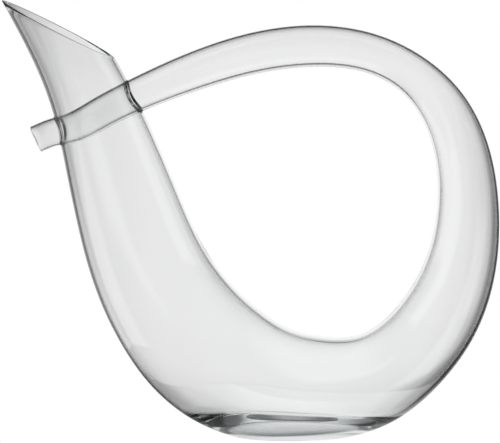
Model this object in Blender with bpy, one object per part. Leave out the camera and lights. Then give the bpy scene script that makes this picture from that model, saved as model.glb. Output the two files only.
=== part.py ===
"""A clear glass wine decanter shaped like a ring.

One round glass passage runs from a slanted mouth down the neck and through the bowl, turns up
into the riser, bends over the shoulder, runs back along the arch, passes through both walls of
the neck and ends in a short open stub. Each length of that passage is a solid of its own, and
all of them are cut from the same centre line. Lengths are in metres, +Z is up, and the ground
foot stands on z = 0.
"""
import bmesh
import bpy
import numpy as np

# The passage from above the mouth to the end of the stub. Each station is x, z, the outer radius
# of the glass, and its wall's thickness on the side facing away from the ring's middle and on the
# side facing it. A smooth spline joins them.
STATIONS = np.array([
    (-0.1310, 0.2740, 0.0203, 0.0022, 0.0019),
    (-0.1090, 0.2335, 0.0217, 0.0022, 0.0019),
    (-0.0955, 0.2040, 0.0244, 0.0021, 0.0019),
    (-0.0835, 0.1690, 0.0286, 0.0018, 0.0019),
    (-0.0735, 0.1365, 0.0320, 0.0016, 0.0020),
    (-0.0620, 0.1040, 0.0348, 0.0015, 0.0022),
    (-0.0465, 0.0755, 0.0374, 0.0013, 0.0026),
    (-0.0175, 0.0450, 0.0388, 0.0015, 0.0029),
    (0.0080, 0.0330, 0.0362, 0.0018, 0.0032),
    (0.0410, 0.0290, 0.0320, 0.0020, 0.0034),
    (0.0720, 0.0344, 0.0285, 0.0026, 0.0032),
    (0.0954, 0.0507, 0.0257, 0.0024, 0.0028),
    (0.1132, 0.0735, 0.0240, 0.0019, 0.0024),
    (0.1252, 0.1030, 0.0214, 0.0014, 0.0021),
    (0.1295, 0.1415, 0.0184, 0.0012, 0.0019),
    (0.1262, 0.1705, 0.0165, 0.0011, 0.0017),
    (0.1140, 0.2000, 0.0143, 0.0010, 0.0016),
    (0.0945, 0.2205, 0.0122, 0.0011, 0.0019),
    (0.0715, 0.2320, 0.0118, 0.0011, 0.0020),
    (0.0360, 0.2366, 0.0124, 0.0011, 0.0020),
    (-0.0010, 0.2318, 0.0123, 0.0011, 0.0020),
    (-0.0360, 0.2209, 0.0115, 0.0011, 0.0020),
    (-0.0670, 0.2081, 0.0103, 0.0012, 0.0020),
    (-0.0925, 0.1952, 0.0097, 0.0012, 0.0020),
    (-0.1080, 0.1876, 0.0091, 0.0012, 0.0016),
    (-0.1185, 0.1850, 0.0084, 0.0010, 0.0010),
    (-0.1290, 0.1808, 0.0082, 0.0010, 0.0010),
])

# The mouth is cut on a slant: the point of the lip, and the line that the cut follows.
LIP_POINT = np.array((-0.1478, 0.0, 0.2637))
LIP_NORMAL = np.array((0.4586, 0.0, 0.8886))
RIM_HEIGHT = 0.0045

# The rounding of the two cut edges: the share of the wall in each corner, and its height.
MOUTH_CORNER_SHARE = 0.25
MOUTH_CORNER_HEIGHT = 0.0005
FULL_ROUND = 0.5
STUB_CORNER_SHARE = FULL_ROUND
STUB_CORNER_HEIGHT = 0.0005
CORNER_STEPS = 3

# The thick bottom: glass fills the bowl up to a shallow dished floor, whose lowest point is at
# FLOOR_X and FLOOR_LEVEL and whose radii of curvature run along and across the ring. The floor
# runs into the walls with a fillet.
FLOOR_X = 0.0280
FLOOR_LEVEL = 0.0086
FLOOR_RADIUS_ALONG = 0.600
FLOOR_RADIUS_ACROSS = 0.045
FLOOR_FILLET = 0.004
PAD_HEIGHT = 0.0035

# Where one length of glass ends and the next begins, as station numbers.
NECK_END = 4.0
BOWL_END = 9.5
LOWER_BEND_END = 12.0
RISER_END = 14.5
SHOULDER_END = 18.0

# The two seals where the tube goes through the neck: a thick bead round the tube.
SEAL_BEAD = 0.0010
SEAL_REACH = 0.0015
STUB_RIM_LENGTH = 0.0022

JOIN_GAP = 0.0003
HOLE_CUTTER_MARGIN = 0.012

# Stations between which a crossing or an end is looked for.
MOUTH_SEARCH_END = 3.5
NECK_SEARCH_START = 1.0
TUBE_SEARCH_START = 20.0
PAD_SEARCH_START = 6.0
PAD_SEARCH_END = 10.9
SEARCH_POINTS = 2000
HALVINGS = 40

# Mesh density, and the angle above which an edge stays sharp.
SIDES = 32
STEP = 0.0125
SEAL_RINGS = 7
SHARP_ANGLE = 0.7
SAME_PLACE = 1e-7
TINY = 1e-9

GLASS_COLOR = (0.86, 0.93, 0.93, 1.0)
GLASS_ROUGHNESS = 0.02
GLASS_IOR = 1.52

ANGLES = np.arange(SIDES) * 2.0 * np.pi / SIDES


def spline_slopes(knots, values):
    """Slopes at the knots of the natural cubic spline through the values."""
    gaps = np.diff(knots)
    rises = np.diff(values, axis=0) / gaps[:, None]
    count = len(knots)
    system = np.zeros((count, count))
    right = np.zeros_like(values)
    system[0, :2] = 2.0, 1.0
    right[0] = 3.0 * rises[0]
    for i in range(1, count - 1):
        system[i, i - 1:i + 2] = gaps[i], 2.0 * (gaps[i - 1] + gaps[i]), gaps[i - 1]
        right[i] = 3.0 * (gaps[i] * rises[i - 1] + gaps[i - 1] * rises[i])
    system[-1, -2:] = 1.0, 2.0
    right[-1] = 3.0 * rises[-1]
    return np.linalg.solve(system, right)


KNOTS = np.concatenate(([0.0], np.cumsum(np.hypot(*np.diff(STATIONS[:, :2], axis=0).T))))
SLOPES = spline_slopes(KNOTS, STATIONS)


def passage(s):
    """The passage at distance s: centre, outward direction, outer radius and the two walls."""
    s = np.asarray(s, dtype=float)
    i = np.clip(np.searchsorted(KNOTS, s) - 1, 0, len(KNOTS) - 2)
    gap = (KNOTS[i + 1] - KNOTS[i])[..., None]
    t = (s - KNOTS[i])[..., None] / gap
    start, end = STATIONS[i], STATIONS[i + 1]
    value = (start * (1 + 2 * t) * (1 - t) ** 2 + end * t * t * (3 - 2 * t)
             + gap * (SLOPES[i] * t * (1 - t) ** 2 - SLOPES[i + 1] * t * t * (1 - t)))
    slope = (6 * t * (1 - t) * (end - start) / gap
             + SLOPES[i] * (1 - t) * (1 - 3 * t) + SLOPES[i + 1] * t * (3 * t - 2))
    run = slope[..., :2] / np.linalg.norm(slope[..., :2], axis=-1, keepdims=True)
    zero = np.zeros_like(s)
    centre = np.stack((value[..., 0], zero, value[..., 1]), axis=-1)
    outward = np.stack((run[..., 1], zero, -run[..., 0]), axis=-1)
    return centre, outward, value[..., 2], value[..., 3], value[..., 4]


def station_distance(number):
    """Distance along the passage of a station number, which may fall between two."""
    return float(np.interp(number, np.arange(len(KNOTS)), KNOTS))


def floor_reach(centre, direction):
    """How far the dished floor of the bowl is from the centre in a direction."""
    x = centre[..., 0] - FLOOR_X
    square = (0.5 * direction[..., 0] ** 2 / FLOOR_RADIUS_ALONG
              + 0.5 * direction[..., 1] ** 2 / FLOOR_RADIUS_ACROSS)
    line = x * direction[..., 0] / FLOOR_RADIUS_ALONG - direction[..., 2]
    depth = centre[..., 2] - FLOOR_LEVEL - 0.5 * x ** 2 / FLOOR_RADIUS_ALONG
    return 2.0 * depth / (line + np.sqrt(line ** 2 + 4.0 * square * depth) + TINY)


def soft_lesser(first, second, width):
    """The lesser of two lengths, rounded off where they differ by less than a width."""
    share = np.clip(0.5 + 0.5 * (second - first) / width, 0.0, 1.0)
    return second + (first - second) * share - width * share * (1.0 - share)


def skin_point(s, angle, share=0.0, offset=0.0):
    """Point in the glass: share 0 is the outer skin, moved out by offset, and 1 the inner skin.

    Angle 0 faces away from the ring's middle.
    """
    centre, outward, radius, far_wall, near_wall = passage(s)
    direction = np.cos(angle)[..., None] * outward
    direction[..., 1] = np.sin(angle)
    outer = radius + offset
    share_far = 0.5 + 0.5 * np.cos(angle)
    inner = radius - near_wall - (far_wall - near_wall) * share_far
    inner = soft_lesser(inner, floor_reach(centre, direction), FLOOR_FILLET)
    return centre + (outer + share * (inner - outer))[..., None] * direction


def lip_distance(share, height):
    """Distance s at which each line of the wall meets the plane at a height above the lip."""
    low = np.zeros(SIDES)
    high = np.full(SIDES, station_distance(MOUTH_SEARCH_END))
    for _ in range(HALVINGS):
        middle = 0.5 * (low + high)
        above = (skin_point(middle, ANGLES, share) - LIP_POINT) @ LIP_NORMAL > height
        low = np.where(above, middle, low)
        high = np.where(above, high, middle)
    return 0.5 * (low + high)


def lip_row(share, height):
    """A ring of points in the wall that lies on a plane parallel to the mouth's cut."""
    return skin_point(lip_distance(share, height), ANGLES, share)


def mesh_object(name, points, faces):
    """Make an object from points and faces, with its faces pointing out."""
    mesh = bpy.data.meshes.new(name)
    mesh.from_pydata([tuple(p) for p in points], [], faces)
    shell = bmesh.new()
    shell.from_mesh(mesh)
    bmesh.ops.recalc_face_normals(shell, faces=shell.faces)
    if shell.calc_volume(signed=True) < 0.0:
        bmesh.ops.reverse_faces(shell, faces=shell.faces)
    shell.to_mesh(mesh)
    shell.free()
    part = bpy.data.objects.new(name, mesh)
    bpy.context.scene.collection.objects.link(part)
    return part


def ring_faces(first, second):
    """Faces between two rings of points, given by the index of their first point."""
    steps = range(SIDES)
    return [(first + j, first + (j + 1) % SIDES, second + (j + 1) % SIDES, second + j)
            for j in steps]


def loop_of_rows(name, rows):
    """A closed hollow body: rings of points joined in turn, the last to the first."""
    faces = []
    for k in range(len(rows)):
        faces += ring_faces(k * SIDES, ((k + 1) % len(rows)) * SIDES)
    return mesh_object(name, np.concatenate(rows), faces)


def solid_of_rows(name, rows):
    """A solid body: rings of points joined in turn, with a flat face at each end."""
    faces = [tuple(range(SIDES)), tuple((len(rows) - 1) * SIDES + j for j in range(SIDES))]
    for k in range(len(rows) - 1):
        faces += ring_faces(k * SIDES, (k + 1) * SIDES)
    return mesh_object(name, np.concatenate(rows), faces)


def distances(start, end):
    """Evenly spaced distances from start to end, about one STEP apart."""
    count = max(2, int(round((end - start) / STEP)) + 1)
    return np.linspace(start, end, count)


def outer_rows(start, end, offset=0.0):
    return [skin_point(np.full(SIDES, s), ANGLES, 0.0, offset) for s in distances(start, end)]


def inner_rows(start, end):
    return [skin_point(np.full(SIDES, s), ANGLES, 1.0) for s in distances(start, end)]


def tube(name, start, end):
    """A plain length of the passage, with square ends half a gap short of its neighbours."""
    start += 0.5 * JOIN_GAP
    end -= 0.5 * JOIN_GAP
    return loop_of_rows(name, outer_rows(start, end) + inner_rows(start, end)[::-1])


def cut_away(part, height, keep_above):
    """Cut a part on a level plane, drop one side and close the cut with a flat face."""
    body = bmesh.new()
    body.from_mesh(part.data)
    geometry = body.verts[:] + body.edges[:] + body.faces[:]
    bmesh.ops.bisect_plane(body, geom=geometry, dist=SAME_PLACE, plane_co=(0.0, 0.0, height),
                           plane_no=(0.0, 0.0, 1.0), clear_inner=keep_above,
                           clear_outer=not keep_above)
    rim = [edge for edge in body.edges if edge.is_boundary]
    bmesh.ops.contextual_create(body, geom=rim)
    bmesh.ops.recalc_face_normals(body, faces=body.faces)
    body.to_mesh(part.data)
    body.free()


def glass(name):
    """Clear glass."""
    material = bpy.data.materials.new(name)
    material.use_nodes = True
    shader = material.node_tree.nodes["Principled BSDF"]
    shader.inputs["Base Color"].default_value = GLASS_COLOR
    shader.inputs["Roughness"].default_value = GLASS_ROUGHNESS
    shader.inputs["Metallic"].default_value = 0.0
    shader.inputs["IOR"].default_value = GLASS_IOR
    shader.inputs["Transmission Weight"].default_value = 1.0
    return material


def crossing_distances(share, outer_side):
    """Where the tube's centre line enters and leaves the neck's inner or outer skin."""
    tail = np.linspace(station_distance(TUBE_SEARCH_START), KNOTS[-1], SEARCH_POINTS)
    neck = np.linspace(station_distance(NECK_SEARCH_START), station_distance(NECK_END),
                       SEARCH_POINTS)
    tube_line = passage(tail)[0]
    neck_line, _, radius, far_wall, near_wall = passage(neck)
    reach = radius - 0.5 * share * (far_wall + near_wall)
    gaps = np.linalg.norm(tube_line[:, None, :] - neck_line[None, :, :], axis=2) - reach[None, :]
    inside = tail[np.min(gaps, axis=1) < 0.0]
    return inside[-1] if outer_side else inside[0]


def cut_edge(corner_share, corner_height):
    """A cut edge with rounded corners: shares through the wall and depths below the cut."""
    turns = np.linspace(0.0, 0.5 * np.pi, CORNER_STEPS + 1)
    shares = corner_share * (1.0 - np.cos(turns))
    depths = corner_height * (1.0 - np.sin(turns))
    edge = list(zip(shares, depths)) + list(zip(1.0 - shares[::-1], depths[::-1]))
    if corner_share == FULL_ROUND:
        del edge[CORNER_STEPS]
    return edge


def make_mouth_rim():
    """The polished rim of the mouth: a band along the slanted cut, which is ground flat."""
    rows = [lip_row(0.0, -RIM_HEIGHT)]
    rows += [lip_row(share, -depth)
             for share, depth in cut_edge(MOUTH_CORNER_SHARE, MOUTH_CORNER_HEIGHT)]
    rows.append(lip_row(1.0, -RIM_HEIGHT))
    return loop_of_rows("mouth_rim", rows)


def neck_rows(share, end):
    """Rings down the neck, from the slanted plane under the rim to a square end."""
    start = lip_distance(share, -RIM_HEIGHT - JOIN_GAP)
    count = int(round((end - start.min()) / STEP)) + 1
    return [skin_point(start + (end - start) * k / (count - 1), ANGLES, share)
            for k in range(count)]


def make_neck(entry, leave):
    """The neck, with the two round holes that the tube passes through."""
    end = station_distance(NECK_END) - 0.5 * JOIN_GAP
    neck = loop_of_rows("neck", neck_rows(0.0, end) + neck_rows(1.0, end)[::-1])
    rows = outer_rows(entry - HOLE_CUTTER_MARGIN, leave + HOLE_CUTTER_MARGIN,
                      SEAL_BEAD + JOIN_GAP)
    cutter = solid_of_rows("tube_cutter", rows)
    cutter.hide_render = True
    cutter.display_type = 'WIRE'
    holes = neck.modifiers.new("tube_holes", 'BOOLEAN')
    holes.operation = 'DIFFERENCE'
    holes.solver = 'EXACT'
    holes.object = cutter
    return neck


def length_over_pad(name, start, end):
    """A length of the passage whose underside is cut level where the base pad meets it."""
    length = tube(name, station_distance(start), station_distance(end))
    cut_away(length, PAD_HEIGHT + JOIN_GAP, keep_above=True)
    return length


def make_base_pad():
    """The ground foot: the lowest few millimetres of the glass, level above and below."""
    rows = outer_rows(station_distance(PAD_SEARCH_START), station_distance(PAD_SEARCH_END))
    pad = solid_of_rows("base_pad", rows)
    cut_away(pad, PAD_HEIGHT, keep_above=False)
    cut_away(pad, 0.0, keep_above=True)
    return pad


def make_seal(name, start, end):
    """A bead of glass round the tube where it goes through one wall of the neck."""
    s = np.linspace(start + 0.5 * JOIN_GAP, end - 0.5 * JOIN_GAP, SEAL_RINGS)
    swell = SEAL_BEAD * np.sqrt(np.clip(np.sin(np.linspace(0.0, np.pi, SEAL_RINGS)), 0.0, 1.0))
    outside = [skin_point(np.full(SIDES, d), ANGLES, 0.0, bead) for d, bead in zip(s, swell)]
    inside = [skin_point(np.full(SIDES, d), ANGLES, 1.0) for d in (s[-1], s[0])]
    return loop_of_rows(name, outside + inside)


def make_stub_rim(start):
    """The polished open end of the stub: a short ring with a half-round edge."""
    start = np.full(SIDES, start + 0.5 * JOIN_GAP)
    rows = [skin_point(start, ANGLES, 0.0)]
    rows += [skin_point(np.full(SIDES, KNOTS[-1] - depth), ANGLES, share)
             for share, depth in cut_edge(STUB_CORNER_SHARE, STUB_CORNER_HEIGHT)]
    rows.append(skin_point(start, ANGLES, 1.0))
    return loop_of_rows("stub_rim", rows)


def finish(part):
    """Shade a part smooth, keep its real edges sharp and give it its own glass."""
    part.data.shade_smooth()
    part.data.set_sharp_from_angle(angle=SHARP_ANGLE)
    part.data.materials.append(glass(part.name + "_glass"))


def main():
    for old in list(bpy.data.objects):
        bpy.data.objects.remove(old, do_unlink=True)

    outside_in = crossing_distances(0.0, outer_side=False)
    outside_out = crossing_distances(0.0, outer_side=True)
    inside_in = crossing_distances(1.0, outer_side=False)
    inside_out = crossing_distances(1.0, outer_side=True)
    entry = outside_in - SEAL_REACH
    entry_end = inside_in + 2.0 * SEAL_REACH
    leave_start = inside_out - 2.0 * SEAL_REACH
    leave = outside_out + SEAL_REACH
    stub_end = KNOTS[-1] - STUB_RIM_LENGTH

    parts = [
        make_mouth_rim(),
        make_neck(entry, leave),
        length_over_pad("bowl", NECK_END, BOWL_END),
        length_over_pad("lower_bend", BOWL_END, LOWER_BEND_END),
        make_base_pad(),
        tube("riser", station_distance(LOWER_BEND_END), station_distance(RISER_END)),
        tube("shoulder_bend", station_distance(RISER_END), station_distance(SHOULDER_END)),
        tube("arch_tube", station_distance(SHOULDER_END), entry),
        make_seal("entry_seal", entry, entry_end),
        tube("crossing_tube", entry_end, leave_start),
        make_seal("exit_seal", leave_start, leave),
        tube("stub_tube", leave, stub_end),
        make_stub_rim(stub_end),
    ]
    for part in parts:
        finish(part)


main()
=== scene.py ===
"""The looks of the glass decanter: one continuous skin of blown glass over the CAD frame.

The real decanter is a single fused body, so one piece stands for all the CAD lengths. Its inner
and outer skins follow the same centre line, radii and walls as the CAD, and they run into each
other with small fillets where the tube passes through the neck. Lengths are in metres.
"""
import math

import bmesh
import bpy
import numpy as np
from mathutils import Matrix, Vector


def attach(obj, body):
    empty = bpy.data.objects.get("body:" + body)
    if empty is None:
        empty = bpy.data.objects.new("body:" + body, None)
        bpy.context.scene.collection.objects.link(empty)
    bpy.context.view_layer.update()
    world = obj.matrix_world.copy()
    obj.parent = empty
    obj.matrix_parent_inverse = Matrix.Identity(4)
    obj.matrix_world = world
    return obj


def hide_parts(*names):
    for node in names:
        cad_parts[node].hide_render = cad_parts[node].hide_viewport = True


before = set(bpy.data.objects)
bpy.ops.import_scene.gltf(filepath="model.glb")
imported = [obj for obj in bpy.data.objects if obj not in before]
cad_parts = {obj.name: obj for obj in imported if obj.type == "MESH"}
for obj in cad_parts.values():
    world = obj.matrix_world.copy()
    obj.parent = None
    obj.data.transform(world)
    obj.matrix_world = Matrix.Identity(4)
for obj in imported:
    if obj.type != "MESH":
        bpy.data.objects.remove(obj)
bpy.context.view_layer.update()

# The passage, as in the CAD. Each station is x, z, the outer radius of the glass, and its wall's
# thickness on the side facing away from the ring's middle and on the side facing it.
STATIONS = np.array([
    (-0.1310, 0.2740, 0.0203, 0.0022, 0.0019),
    (-0.1090, 0.2335, 0.0217, 0.0022, 0.0019),
    (-0.0955, 0.2040, 0.0244, 0.0021, 0.0019),
    (-0.0835, 0.1690, 0.0286, 0.0018, 0.0019),
    (-0.0735, 0.1365, 0.0320, 0.0016, 0.0020),
    (-0.0620, 0.1040, 0.0348, 0.0015, 0.0022),
    (-0.0465, 0.0755, 0.0374, 0.0013, 0.0026),
    (-0.0175, 0.0450, 0.0388, 0.0015, 0.0029),
    (0.0080, 0.0330, 0.0362, 0.0018, 0.0032),
    (0.0410, 0.0290, 0.0320, 0.0020, 0.0034),
    (0.0720, 0.0344, 0.0285, 0.0026, 0.0032),
    (0.0954, 0.0507, 0.0257, 0.0024, 0.0028),
    (0.1132, 0.0735, 0.0240, 0.0019, 0.0024),
    (0.1252, 0.1030, 0.0214, 0.0014, 0.0021),
    (0.1295, 0.1415, 0.0184, 0.0012, 0.0019),
    (0.1262, 0.1705, 0.0165, 0.0011, 0.0017),
    (0.1140, 0.2000, 0.0143, 0.0010, 0.0016),
    (0.0945, 0.2205, 0.0122, 0.0011, 0.0019),
    (0.0715, 0.2320, 0.0118, 0.0011, 0.0020),
    (0.0360, 0.2366, 0.0124, 0.0011, 0.0020),
    (-0.0010, 0.2318, 0.0123, 0.0011, 0.0020),
    (-0.0360, 0.2209, 0.0115, 0.0011, 0.0020),
    (-0.0670, 0.2081, 0.0103, 0.0012, 0.0020),
    (-0.0925, 0.1952, 0.0097, 0.0012, 0.0020),
    (-0.1080, 0.1876, 0.0091, 0.0012, 0.0016),
    (-0.1185, 0.1850, 0.0084, 0.0010, 0.0010),
    (-0.1290, 0.1808, 0.0082, 0.0010, 0.0010),
])

# The slanted cut of the mouth: a point of its plane, and the plane's normal.
LIP_POINT = np.array((-0.1478, 0.0, 0.2637))
LIP_NORMAL = np.array((0.4586, 0.0, 0.8886))

# The rounded corners of the two cut edges: share of the wall in each corner, and its height.
# A corner with half of the wall in it makes the edge half round.
HALF_WALL = 0.5
MOUTH_CORNER = (0.25, 0.0005)
STUB_CORNER = (HALF_WALL, 0.0005)

# The thick bottom: the lowest point of the dished floor, its radii of curvature along and across
# the ring, the fillet that runs it into the walls, and the rounding of the ground foot's edge.
FLOOR_X = 0.0280
FLOOR_LEVEL = 0.0086
FLOOR_RADIUS_ALONG = 0.600
FLOOR_RADIUS_ACROSS = 0.045
FLOOR_FILLET = 0.004
FOOT_EDGE = 0.0008

# Mesh density. A window is the square patch of the neck's skin round each hole.
SIDES = 112
WINDOW = SIDES // 4
WINDOW_HALF_LENGTH = 0.0165
STEP = 0.0032
BASE_STEP = 0.0018
NECK_TOP_ROWS = 12
PATCH_RINGS = 12
FILLET = 0.0006
FILLET_STEPS = 6
EDGE_STEPS = 5

# Where things lie along the passage, as station numbers.
LIP_BEFORE = 3.5
CROSSING_NECK = (1.0, 4.0)
CROSSING_TUBE = 21.0
UNDER_BOWL = (6.3, 11.0)

# How finely the meeting points of the cuts and the tube are searched for.
HALVINGS = 40
SEARCH_SAMPLES = 1500
SOLVER_STEPS = 12
NUDGE = 1e-6
TINY = 1e-9

ANGLES = np.arange(SIDES) * 2.0 * np.pi / SIDES


# ---- The centre line and the two skins -------------------------------------------------------

def spline_slopes(knots, values):
    """Slopes at the knots of the natural cubic spline through the values."""
    gaps = np.diff(knots)
    rises = np.diff(values, axis=0) / gaps[:, None]
    count = len(knots)
    system = np.zeros((count, count))
    right = np.zeros_like(values)
    system[0, :2] = 2.0, 1.0
    right[0] = 3.0 * rises[0]
    for i in range(1, count - 1):
        system[i, i - 1:i + 2] = gaps[i], 2.0 * (gaps[i - 1] + gaps[i]), gaps[i - 1]
        right[i] = 3.0 * (gaps[i] * rises[i - 1] + gaps[i - 1] * rises[i])
    system[-1, -2:] = 1.0, 2.0
    right[-1] = 3.0 * rises[-1]
    return np.linalg.solve(system, right)


KNOTS = np.concatenate(([0.0], np.cumsum(np.hypot(*np.diff(STATIONS[:, :2], axis=0).T))))
SLOPES = spline_slopes(KNOTS, STATIONS)


def station_distance(number):
    """Distance along the passage of a station number, which may fall between two."""
    return float(np.interp(number, np.arange(len(KNOTS)), KNOTS))


def passage(s):
    """The passage at distance s: centre, outward direction, outer radius and the two walls."""
    s = np.asarray(s, dtype=float)
    i = np.clip(np.searchsorted(KNOTS, s) - 1, 0, len(KNOTS) - 2)
    gap = (KNOTS[i + 1] - KNOTS[i])[..., None]
    t = (s - KNOTS[i])[..., None] / gap
    start, end = STATIONS[i], STATIONS[i + 1]
    value = (start * (1 + 2 * t) * (1 - t) ** 2 + end * t * t * (3 - 2 * t)
             + gap * (SLOPES[i] * t * (1 - t) ** 2 - SLOPES[i + 1] * t * t * (1 - t)))
    slope = (6 * t * (1 - t) * (end - start) / gap
             + SLOPES[i] * (1 - t) * (1 - 3 * t) + SLOPES[i + 1] * t * (3 * t - 2))
    run = slope[..., :2] / np.linalg.norm(slope[..., :2], axis=-1, keepdims=True)
    zero = np.zeros_like(s)
    centre = np.stack((value[..., 0], zero, value[..., 1]), axis=-1)
    outward = np.stack((run[..., 1], zero, -run[..., 0]), axis=-1)
    return centre, outward, value[..., 2], value[..., 3], value[..., 4]


def floor_reach(centre, direction):
    """How far the dished floor of the bowl is from the centre in a direction."""
    x = centre[..., 0] - FLOOR_X
    square = (0.5 * direction[..., 0] ** 2 / FLOOR_RADIUS_ALONG
              + 0.5 * direction[..., 1] ** 2 / FLOOR_RADIUS_ACROSS)
    line = x * direction[..., 0] / FLOOR_RADIUS_ALONG - direction[..., 2]
    depth = centre[..., 2] - FLOOR_LEVEL - 0.5 * x ** 2 / FLOOR_RADIUS_ALONG
    return 2.0 * depth / (line + np.sqrt(line ** 2 + 4.0 * square * depth) + TINY)


def soft_lesser(first, second, width):
    """The lesser of two lengths, rounded off where they differ by less than a width."""
    share = np.clip(0.5 + 0.5 * (second - first) / width, 0.0, 1.0)
    return second + (first - second) * share - width * share * (1.0 - share)


def wall_point(s, angle, share, extra=0.0):
    """Point in the glass: share 0 is the outer skin, share 1 the inner. The foot is flat.

    Angle 0 faces away from the ring's middle.
    """
    centre, outward, radius, far_wall, near_wall = passage(s)
    direction = np.cos(angle)[..., None] * outward
    direction[..., 1] = np.sin(angle)
    down = np.maximum(-direction[..., 2], TINY)
    to_foot = np.minimum(centre[..., 2] / down, 1.0)
    outer = soft_lesser(radius + extra, to_foot, FOOT_EDGE)
    share_far = 0.5 + 0.5 * np.cos(angle)
    inner = radius - near_wall - (far_wall - near_wall) * share_far
    inner = soft_lesser(inner, floor_reach(centre, direction), FLOOR_FILLET)
    return centre + (outer + share * (inner - outer))[..., None] * direction


# ---- Collecting the skin's rings and faces ---------------------------------------------------

class Skin:
    """Rings of points and the faces between them."""

    def __init__(self):
        self.points = []
        self.faces = []
        self.count = 0

    def ring(self, points):
        """Add a ring of points and return their indices."""
        self.points.append(points)
        self.count += len(points)
        return np.arange(self.count - len(points), self.count)

    def join(self, first, second, skip=()):
        """Add the faces between two rings, leaving out the sides listed in skip."""
        for j in range(SIDES):
            k = (j + 1) % SIDES
            if j not in skip:
                self.faces.append((first[j], first[k], second[k], second[j]))

    def chain(self, rings):
        """Join each ring to the next."""
        for first, second in zip(rings, rings[1:]):
            self.join(first, second)


def even(start, end, step):
    """Evenly spaced distances from start to end, about a step apart."""
    return np.linspace(start, end, max(2, int(round(abs(end - start) / step)) + 1))


def lip_distance(share, height):
    """Distance s at which each line of the wall meets a plane parallel to the mouth's cut."""
    low = np.zeros(SIDES)
    high = np.full(SIDES, station_distance(LIP_BEFORE))
    for _ in range(HALVINGS):
        middle = 0.5 * (low + high)
        above = (wall_point(middle, ANGLES, share) - LIP_POINT) @ LIP_NORMAL > height
        low = np.where(above, middle, low)
        high = np.where(above, high, middle)
    return 0.5 * (low + high)


def crossing_centre(side):
    """Where the tube's centre line meets the neck's outer skin: s on the neck and on the tube."""
    neck_start, neck_end = (station_distance(number) for number in CROSSING_NECK)
    neck_s = np.linspace(neck_start, neck_end, SEARCH_SAMPLES)
    tube_s = np.linspace(station_distance(CROSSING_TUBE), KNOTS[-1], SEARCH_SAMPLES)
    neck_line, _, radius = passage(neck_s)[:3]
    tube_line = passage(tube_s)[0]
    away = np.linalg.norm(tube_line[:, None] - neck_line[None], axis=2) - radius[None]
    inside = np.where(away.min(axis=1) < 0.0)[0]
    k = inside[0] if side == "right" else inside[-1]
    return neck_s[np.argmin(np.linalg.norm(neck_line - tube_line[k], axis=1))], tube_s[k]


def meet(side, share, extra):
    """Where the tube's lines, moved out by extra, cross the neck's skin.

    Each row is the distance and the angle on the neck, and the distance on the tube.
    """
    neck_s, tube_s = crossing_centre(side)
    middle = np.pi if side == "right" else 0.0
    turn = -1.0 if side == "right" else 1.0
    reach = passage(tube_s)[2] + extra
    neck_radius = passage(neck_s)[2]
    state = np.stack((neck_s - reach * np.cos(ANGLES),
                      middle + turn * reach / neck_radius * np.sin(ANGLES),
                      np.full(SIDES, tube_s)), axis=1)

    def miss(x):
        return wall_point(x[:, 0], x[:, 1], share) - wall_point(x[:, 2], ANGLES, 0.0, extra)

    for _ in range(SOLVER_STEPS):
        base = miss(state)
        slope = np.zeros((SIDES, 3, 3))
        for k in range(3):
            moved = state.copy()
            moved[:, k] += NUDGE
            slope[:, :, k] = (miss(moved) - base) / NUDGE
        state = state - np.linalg.solve(slope, base[..., None])[..., 0]
    return state


def window_edge(rows, distances, side):
    """Indices, s and angle round a window's edge, from the middle of its top towards +Y."""
    half = WINDOW // 2
    middle = SIDES // 2 if side == "right" else 0
    turn = -1 if side == "right" else 1
    path = [(0, k) for k in range(half)]
    path += [(i, half) for i in range(WINDOW)]
    path += [(WINDOW, k) for k in range(half, -half, -1)]
    path += [(i, -half) for i in range(WINDOW, 0, -1)]
    path += [(0, k) for k in range(-half, 0)]
    index = np.array([rows[i][(middle + turn * k) % SIDES] for i, k in path])
    s = np.array([distances[i] for i, _ in path])
    angle = np.array([(middle + turn * k) * 2.0 * np.pi / SIDES for _, k in path])
    return index, s, angle


def open_hole(skin, rows, distances, side, share, toward):
    """Fill a window of the neck round the tube and turn the skin onto the tube with a fillet.

    Returns the fillet's last ring and the tube distances it ends at; toward is the way the
    fillet runs along the tube, -1 or 1.
    """
    edge, edge_s, edge_angle = window_edge(rows, distances, side)
    rim = meet(side, share, FILLET)
    corner = meet(side, share, 0.0)
    previous = edge
    for k in range(1, PATCH_RINGS + 1):
        w = 1.0 - k / PATCH_RINGS
        ring = skin.ring(wall_point(rim[:, 0] + w * (edge_s - rim[:, 0]),
                                    rim[:, 1] + w * (edge_angle - rim[:, 1]), share))
        skin.join(previous, ring)
        previous = ring
    end_s = corner[:, 2] + toward * FILLET
    start = wall_point(rim[:, 0], rim[:, 1], share)
    bend = wall_point(corner[:, 2], ANGLES, 0.0)
    end = wall_point(end_s, ANGLES, 0.0)
    for k in range(1, FILLET_STEPS + 1):
        u = k / FILLET_STEPS
        ring = skin.ring((1 - u) ** 2 * start + 2 * u * (1 - u) * bend + u * u * end)
        skin.join(previous, ring)
        previous = ring
    return previous, end_s


def window_sides(side):
    """The sides of the neck's rings that a window leaves open."""
    middle = SIDES // 2 if side == "right" else 0
    return {(middle + k) % SIDES for k in range(-WINDOW // 2, WINDOW // 2)}


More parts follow.
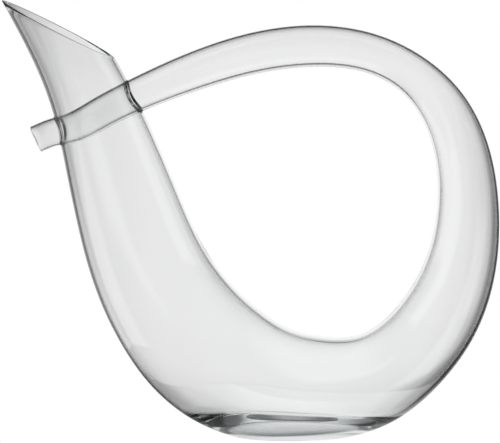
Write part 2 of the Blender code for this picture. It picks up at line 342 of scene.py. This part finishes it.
def neck_skin(skin, share, first_ring, first_s):
    """The neck's skin from the mouth to below the crossing, with both windows left open."""
    centre_s = 0.5 * (crossing_centre("right")[0] + crossing_centre("left")[0])
    window_s = np.linspace(centre_s - WINDOW_HALF_LENGTH, centre_s + WINDOW_HALF_LENGTH,
                           WINDOW + 1)
    previous = first_ring
    for k in range(1, NECK_TOP_ROWS):
        s = first_s + (window_s[0] - first_s) * k / NECK_TOP_ROWS
        ring = skin.ring(wall_point(s, ANGLES, share))
        skin.join(previous, ring)
        previous = ring
    rows = [skin.ring(wall_point(np.full(SIDES, s), ANGLES, share)) for s in window_s]
    skin.join(previous, rows[0])
    holes = window_sides("left") | window_sides("right")
    for first, second in zip(rows, rows[1:]):
        skin.join(first, second, skip=holes)
    return rows, window_s


def passage_steps(start, end):
    """Distances down the passage, closer together under the bowl, where the foot is."""
    low, high = (station_distance(number) for number in UNDER_BOWL)
    return np.concatenate((even(start, low, STEP), even(low, high, BASE_STEP)[1:],
                           even(high, end, STEP)[1:]))


def run_rings(skin, share, distances):
    """Square rings of the skin at distances along the passage."""
    return [skin.ring(wall_point(np.full(SIDES, s), ANGLES, share)) for s in distances]


def cut_edge(corner):
    """A cut edge with rounded corners: shares through the wall and depths below the cut."""
    turns = np.linspace(0.0, 0.5 * np.pi, EDGE_STEPS + 1)
    shares = corner[0] * (1.0 - np.cos(turns))
    depths = corner[1] * (1.0 - np.sin(turns))
    edge = list(zip(shares, depths)) + list(zip(1.0 - shares[::-1], depths[::-1]))
    if corner[0] == HALF_WALL:
        del edge[EDGE_STEPS]
    return edge


def vessel_skin():
    """All the rings and faces of the decanter's glass."""
    skin = Skin()

    lip_rings = []
    for share, depth in cut_edge(MOUTH_CORNER):
        s = lip_distance(share, -depth)
        lip_rings.append((skin.ring(wall_point(s, ANGLES, share)), s))
    skin.chain([ring for ring, _ in lip_rings])

    outer_rows, window_s = neck_skin(skin, 0.0, *lip_rings[0])
    inner_rows, _ = neck_skin(skin, 1.0, *lip_rings[-1])

    # Outer skin: down the neck, round the ring and back to the right wall of the neck.
    arrival, arrival_s = open_hole(skin, outer_rows, window_s, "right", 0.0, -1.0)
    last_square = arrival_s.min() - 2.0 * FILLET
    outer_run = run_rings(skin, 0.0, passage_steps(window_s[-1], last_square)[1:])
    skin.join(outer_rows[-1], outer_run[0])
    skin.chain(outer_run)
    skin.join(outer_run[-1], arrival)

    # The tube inside the neck, between the fillets on the neck's inner skin.
    entry, entry_s = open_hole(skin, inner_rows, window_s, "right", 1.0, 1.0)
    leave, leave_s = open_hole(skin, inner_rows, window_s, "left", 1.0, -1.0)
    between = run_rings(skin, 0.0, even(entry_s.max() + FILLET, leave_s.min() - FILLET, STEP))
    skin.chain([entry] + between + [leave])

    # The stub outside the neck, its half-round end, and the bore all the way back to the lip.
    stub, stub_s = open_hole(skin, outer_rows, window_s, "left", 0.0, 1.0)
    edge_s = KNOTS[-1] - STUB_CORNER[1]
    stub_run = run_rings(skin, 0.0, even(stub_s.max() + FILLET, edge_s, STEP / 2))
    end_rings = [skin.ring(wall_point(np.full(SIDES, KNOTS[-1] - depth), ANGLES, share))
                 for share, depth in cut_edge(STUB_CORNER)[1:]]
    bore = run_rings(skin, 1.0, passage_steps(window_s[-1], edge_s)[1:-1])
    skin.chain([stub] + stub_run + end_rings + bore[::-1] + [inner_rows[-1]])
    return skin


def vessel_object():
    """The decanter's glass as one closed, smooth mesh."""
    skin = vessel_skin()
    mesh = bpy.data.meshes.new("glass_vessel")
    mesh.from_pydata(np.concatenate(skin.points).tolist(), [],
                     [tuple(int(i) for i in face) for face in skin.faces])
    body = bmesh.new()
    body.from_mesh(mesh)
    bmesh.ops.delete(body, geom=[v for v in body.verts if not v.link_faces], context='VERTS')
    bmesh.ops.recalc_face_normals(body, faces=body.faces)
    if body.calc_volume(signed=True) < 0.0:
        bmesh.ops.reverse_faces(body, faces=body.faces)
    body.to_mesh(mesh)
    body.free()
    mesh.shade_smooth()
    vessel = bpy.data.objects.new("glass_vessel", mesh)
    bpy.context.scene.collection.objects.link(vessel)
    return vessel


# ---- Shared shader nodes ---------------------------------------------------------------------

WHITE = (1.0, 1.0, 1.0, 1.0)


def math_node(nodes, links, operation, first, second=None):
    """A maths node on sockets or numbers."""
    node = nodes.new("ShaderNodeMath")
    node.operation = operation
    for slot, value in enumerate((first, second)):
        if isinstance(value, float):
            node.inputs[slot].default_value = value
        elif value is not None:
            links.new(value, node.inputs[slot])
    return node.outputs[0]


def place_axes(nodes, links):
    """The X, Y and Z of a place on a piece, in metres."""
    place = nodes.new("ShaderNodeTexCoord")
    split = nodes.new("ShaderNodeSeparateXYZ")
    links.new(place.outputs["Object"], split.inputs["Vector"])
    return split.outputs["X"], split.outputs["Y"], split.outputs["Z"]


# ---- Material --------------------------------------------------------------------------------

GLASS_IOR = 1.50
GLASS_TINT = (0.69, 0.745, 0.75)
GLASS_DENSITY = 16.0

# The slight waves of the blown skin: the noise's scale and detail, the bump's strength and depth.
WAVE_SCALE = 26.0
WAVE_DETAIL = 1.0
WAVE_STRENGTH = 0.05
WAVE_DEPTH = 0.002

# The ground face of the foot: its roughness, and the height over which it fades out.
FOOT_ROUGHNESS = 0.5
FOOT_FADE = (0.0002, 0.0012)


def glass_material():
    """Clear blown glass: slightly uneven skins, a faint tint in thick places, a ground foot."""
    material = bpy.data.materials.new("clear_glass")
    material.use_nodes = True
    nodes, links = material.node_tree.nodes, material.node_tree.links
    shader = nodes["Principled BSDF"]
    shader.inputs["Base Color"].default_value = WHITE
    shader.inputs["IOR"].default_value = GLASS_IOR
    shader.inputs["Transmission Weight"].default_value = 1.0

    place = nodes.new("ShaderNodeTexCoord")
    waves = nodes.new("ShaderNodeTexNoise")
    waves.inputs["Scale"].default_value = WAVE_SCALE
    waves.inputs["Detail"].default_value = WAVE_DETAIL
    unevenness = nodes.new("ShaderNodeBump")
    unevenness.inputs["Strength"].default_value = WAVE_STRENGTH
    unevenness.inputs["Distance"].default_value = WAVE_DEPTH
    links.new(place.outputs["Object"], waves.inputs["Vector"])
    links.new(waves.outputs["Fac"], unevenness.inputs["Height"])
    links.new(unevenness.outputs["Normal"], shader.inputs["Normal"])

    _, _, height = place_axes(nodes, links)
    ground = nodes.new("ShaderNodeMapRange")
    ground.inputs["From Min"].default_value = FOOT_FADE[0]
    ground.inputs["From Max"].default_value = FOOT_FADE[1]
    ground.inputs["To Min"].default_value = FOOT_ROUGHNESS
    ground.inputs["To Max"].default_value = 0.0
    links.new(height, ground.inputs["Value"])
    links.new(ground.outputs["Result"], shader.inputs["Roughness"])

    tint = nodes.new("ShaderNodeVolumeAbsorption")
    tint.inputs["Color"].default_value = (*GLASS_TINT, 1.0)
    tint.inputs["Density"].default_value = GLASS_DENSITY
    links.new(tint.outputs["Volume"], nodes["Material Output"].inputs["Volume"])
    return material


# ---- Stage, lights and camera ----------------------------------------------------------------

# The floor is a small disc, just under the foot.
FLOOR_DROP = 0.0004
FLOOR_RADIUS = 0.15
FLOOR_SIDES = 96

# The painted pool of light that the glowing floor shows to the glass, with painted shade beyond
# it. Its half-width grows with y from a least one, and its levels are by distance from its middle
# line, in half-widths.
POOL_MIDDLE = 0.033
POOL_HALF_WIDTH = 0.055
POOL_SPREAD = 0.405
POOL_LEAST = 0.04
POOL_LEVELS = ((0.0, 0.96), (0.5, 0.92), (0.7, 0.80), (0.88, 0.58), (1.0, 0.44), (1.2, 0.20),
               (1.45, 0.06), (2.2, 0.03))

# The white card that stands behind the object: its place along Y, and how much of its white
# shows, by x and by z. The rest lets what is behind it through.
CARD_Y = 0.50
CARD_ACROSS = ((-0.52, 0.0), (-0.42, 0.14), (-0.34, 0.20), (-0.28, 0.28), (-0.24, 0.42),
               (-0.20, 0.58), (-0.175, 0.74), (-0.15, 0.86), (-0.11, 0.90), (-0.06, 0.95),
               (0.0, 0.98), (0.12, 0.97), (0.15, 0.92), (0.17, 0.83), (0.19, 0.69),
               (0.205, 0.56), (0.22, 0.38), (0.24, 0.20), (0.28, 0.14), (0.34, 0.12),
               (0.42, 0.0))
CARD_UP = ((-0.36, 0.0), (-0.30, 0.08), (-0.22, 0.20), (-0.15, 0.34), (-0.12, 0.45),
           (-0.10, 0.64), (-0.08, 0.90), (-0.05, 0.97), (0.0, 1.0), (0.16, 1.0), (0.19, 0.95),
           (0.22, 0.86), (0.25, 0.76), (0.30, 0.66), (0.33, 0.44), (0.36, 0.18), (0.46, 0.0))

# Soft lights far away, as the glass sees them: stops of azimuth and of elevation in degrees.
FAR_LIGHTS = (
    (((-118, 0.0), (-104, 0.9), (-76, 0.9), (-62, 0.0)), ((-20, 0.9), (8, 0.9), (16, 0.0))),
    (((107, 0.0), (121, 0.9), (149, 0.9), (163, 0.0)), ((-40, 0.9), (-6, 0.9), (2, 0.0))),
    (((-66, 0.0), (-58, 0.7), (-46, 0.7), (-38, 0.0)),
     ((-46, 0.0), (-34, 0.8), (-16, 0.8), (-8, 0.0))),
)
FAR_DARK = 0.04


def grey_ramp(nodes, links, source, stops):
    """A smooth grey curve of a socket's value, through stops of value and level."""
    low, high = stops[0][0], stops[-1][0]
    share = nodes.new("ShaderNodeMapRange")
    share.inputs["From Min"].default_value = low
    share.inputs["From Max"].default_value = high
    links.new(source, share.inputs["Value"])
    curve = nodes.new("ShaderNodeValToRGB")
    curve.color_ramp.interpolation = 'EASE'
    elements = curve.color_ramp.elements
    while len(elements) > 1:
        elements.remove(elements[-1])
    for k, (value, level) in enumerate(stops):
        position = (value - low) / (high - low)
        stop = elements[0] if k == 0 else elements.new(position)
        stop.position = position
        stop.color = (level, level, level, 1.0)
    links.new(share.outputs["Result"], curve.inputs["Fac"])
    return curve.outputs["Color"]


def combine(nodes, links, kind, first, second):
    """Mix two colours, one or both of which come from sockets."""
    mix = nodes.new("ShaderNodeMix")
    mix.data_type = 'RGBA'
    mix.blend_type = kind
    mix.inputs["Factor"].default_value = 1.0
    for name, value in (("A", first), ("B", second)):
        if isinstance(value, tuple):
            mix.inputs[name].default_value = value
        else:
            links.new(value, mix.inputs[name])
    return mix.outputs["Result"]


def white_to_camera(nodes, links, colour):
    """White where the camera looks straight at it, and the given colour to the glass."""
    seen = nodes.new("ShaderNodeLightPath")
    choice = nodes.new("ShaderNodeMix")
    choice.data_type = 'RGBA'
    choice.inputs["B"].default_value = WHITE
    links.new(seen.outputs["Is Camera Ray"], choice.inputs["Factor"])
    links.new(colour, choice.inputs["A"])
    return choice.outputs["Result"]


def staged(name, points, faces):
    """A piece of the stage with a glowing material, and that material's nodes and glow."""
    mesh = bpy.data.meshes.new(name)
    mesh.from_pydata(points, [], faces)
    thing = bpy.data.objects.new(name, mesh)
    bpy.context.scene.collection.objects.link(thing)
    material = bpy.data.materials.new(name)
    material.use_nodes = True
    nodes, links = material.node_tree.nodes, material.node_tree.links
    nodes.remove(nodes["Principled BSDF"])
    glow = nodes.new("ShaderNodeEmission")
    links.new(glow.outputs["Emission"], nodes["Material Output"].inputs["Surface"])
    mesh.materials.append(material)
    return thing, nodes, links, glow


def painted_pool_of_light(nodes, links, x, y):
    """The level of the painted pool of light, and of the painted shade round it, at a place on
    the floor.
    """
    aside = math_node(nodes, links, 'SUBTRACT', x, POOL_MIDDLE)
    aside = math_node(nodes, links, 'ABSOLUTE', aside)
    wide = math_node(nodes, links, 'MULTIPLY', y, POOL_SPREAD)
    wide = math_node(nodes, links, 'ADD', wide, POOL_HALF_WIDTH)
    wide = math_node(nodes, links, 'MAXIMUM', wide, POOL_LEAST)
    return grey_ramp(nodes, links, math_node(nodes, links, 'DIVIDE', aside, wide), POOL_LEVELS)


def stage_floor():
    """A floor that glows plain white to the camera; to the glass it glows as a painted pool of
    light with painted shade round it.
    """
    turns = np.arange(FLOOR_SIDES) * 2.0 * np.pi / FLOOR_SIDES
    rim = [(FLOOR_RADIUS * math.cos(t), FLOOR_RADIUS * math.sin(t), -FLOOR_DROP) for t in turns]
    _, nodes, links, glow = staged("floor", rim, [tuple(range(FLOOR_SIDES))])
    x, y, _ = place_axes(nodes, links)
    # Painted pool of light and painted shade, seen only by the glass; the camera sees even white.
    level = painted_pool_of_light(nodes, links, x, y)
    links.new(white_to_camera(nodes, links, level), glow.inputs["Color"])


def back_card():
    """A lit white card behind the object, which only the glass sees."""
    x0, x1 = CARD_ACROSS[0][0], CARD_ACROSS[-1][0]
    z0, z1 = CARD_UP[0][0], CARD_UP[-1][0]
    corners = [(x0, CARD_Y, z0), (x1, CARD_Y, z0), (x1, CARD_Y, z1), (x0, CARD_Y, z1)]
    card, nodes, links, glow = staged("back_card", corners, [(0, 1, 2, 3)])
    card.visible_camera = False
    x, _, z = place_axes(nodes, links)
    across = grey_ramp(nodes, links, x, CARD_ACROSS)
    up = grey_ramp(nodes, links, z, CARD_UP)
    glow.inputs["Color"].default_value = WHITE
    clear = nodes.new("ShaderNodeBsdfTransparent")
    fade = nodes.new("ShaderNodeMixShader")
    links.new(combine(nodes, links, 'MULTIPLY', across, up), fade.inputs["Fac"])
    links.new(clear.outputs["BSDF"], fade.inputs[1])
    links.new(glow.outputs["Emission"], fade.inputs[2])
    links.new(fade.outputs["Shader"], nodes["Material Output"].inputs["Surface"])


def studio_world():
    """A white studio to the camera, and a dark one with a few soft lights to the glass."""
    world = bpy.data.worlds.new("studio")
    bpy.context.scene.world = world
    world.use_nodes = True
    nodes, links = world.node_tree.nodes, world.node_tree.links
    direction = nodes.new("ShaderNodeTexCoord")
    split = nodes.new("ShaderNodeSeparateXYZ")
    links.new(direction.outputs["Generated"], split.inputs["Vector"])
    azimuth = math_node(nodes, links, 'ARCTAN2', split.outputs["X"], split.outputs["Y"])
    elevation = math_node(nodes, links, 'ARCSINE', split.outputs["Z"])

    total = (FAR_DARK, FAR_DARK, FAR_DARK, 1.0)
    for around, up in FAR_LIGHTS:
        wide = grey_ramp(nodes, links, azimuth, [(math.radians(a), v) for a, v in around])
        tall = grey_ramp(nodes, links, elevation, [(math.radians(a), v) for a, v in up])
        light = combine(nodes, links, 'MULTIPLY', wide, tall)
        total = combine(nodes, links, 'ADD', light, total)
    links.new(white_to_camera(nodes, links, total), nodes["Background"].inputs["Color"])


# Light is followed this many times through and inside the thick bottom.
LIGHT_BOUNCES = 40

CAMERA_AIM = (-0.0011, 0.0, 0.1311)
CAMERA_DISTANCE = 1.9
CAMERA_ELEVATION = math.radians(8.3)
VIEW_WIDTH = 0.300
SENSOR = 36.0
CAMERA_REACH = 60.0


def photo_camera():
    """A long lens from a little above, straight on to the ring."""
    data = bpy.data.cameras.new("photo_camera")
    data.sensor_width = SENSOR
    data.lens = SENSOR * CAMERA_DISTANCE / VIEW_WIDTH
    data.clip_end = CAMERA_REACH
    camera = bpy.data.objects.new("photo_camera", data)
    bpy.context.scene.collection.objects.link(camera)
    aim = Vector(CAMERA_AIM)
    away = Vector((0.0, -math.cos(CAMERA_ELEVATION), math.sin(CAMERA_ELEVATION)))
    camera.location = aim + CAMERA_DISTANCE * away
    camera.rotation_euler = (-away).to_track_quat('-Z', 'Y').to_euler()
    bpy.context.scene.camera = camera


def main():
    """The glass over the whole CAD frame, its stage, its light and the photo's camera."""
    vessel = vessel_object()
    vessel.data.materials.append(glass_material())
    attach(vessel, "root")
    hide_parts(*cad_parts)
    stage_floor()
    back_card()
    studio_world()
    photo_camera()
    bpy.context.scene.view_settings.view_transform = 'Standard'
    bpy.context.scene.cycles.max_bounces = LIGHT_BOUNCES
    bpy.context.scene.cycles.transmission_bounces = LIGHT_BOUNCES
    bpy.context.scene.cycles.glossy_bounces = LIGHT_BOUNCES


main()
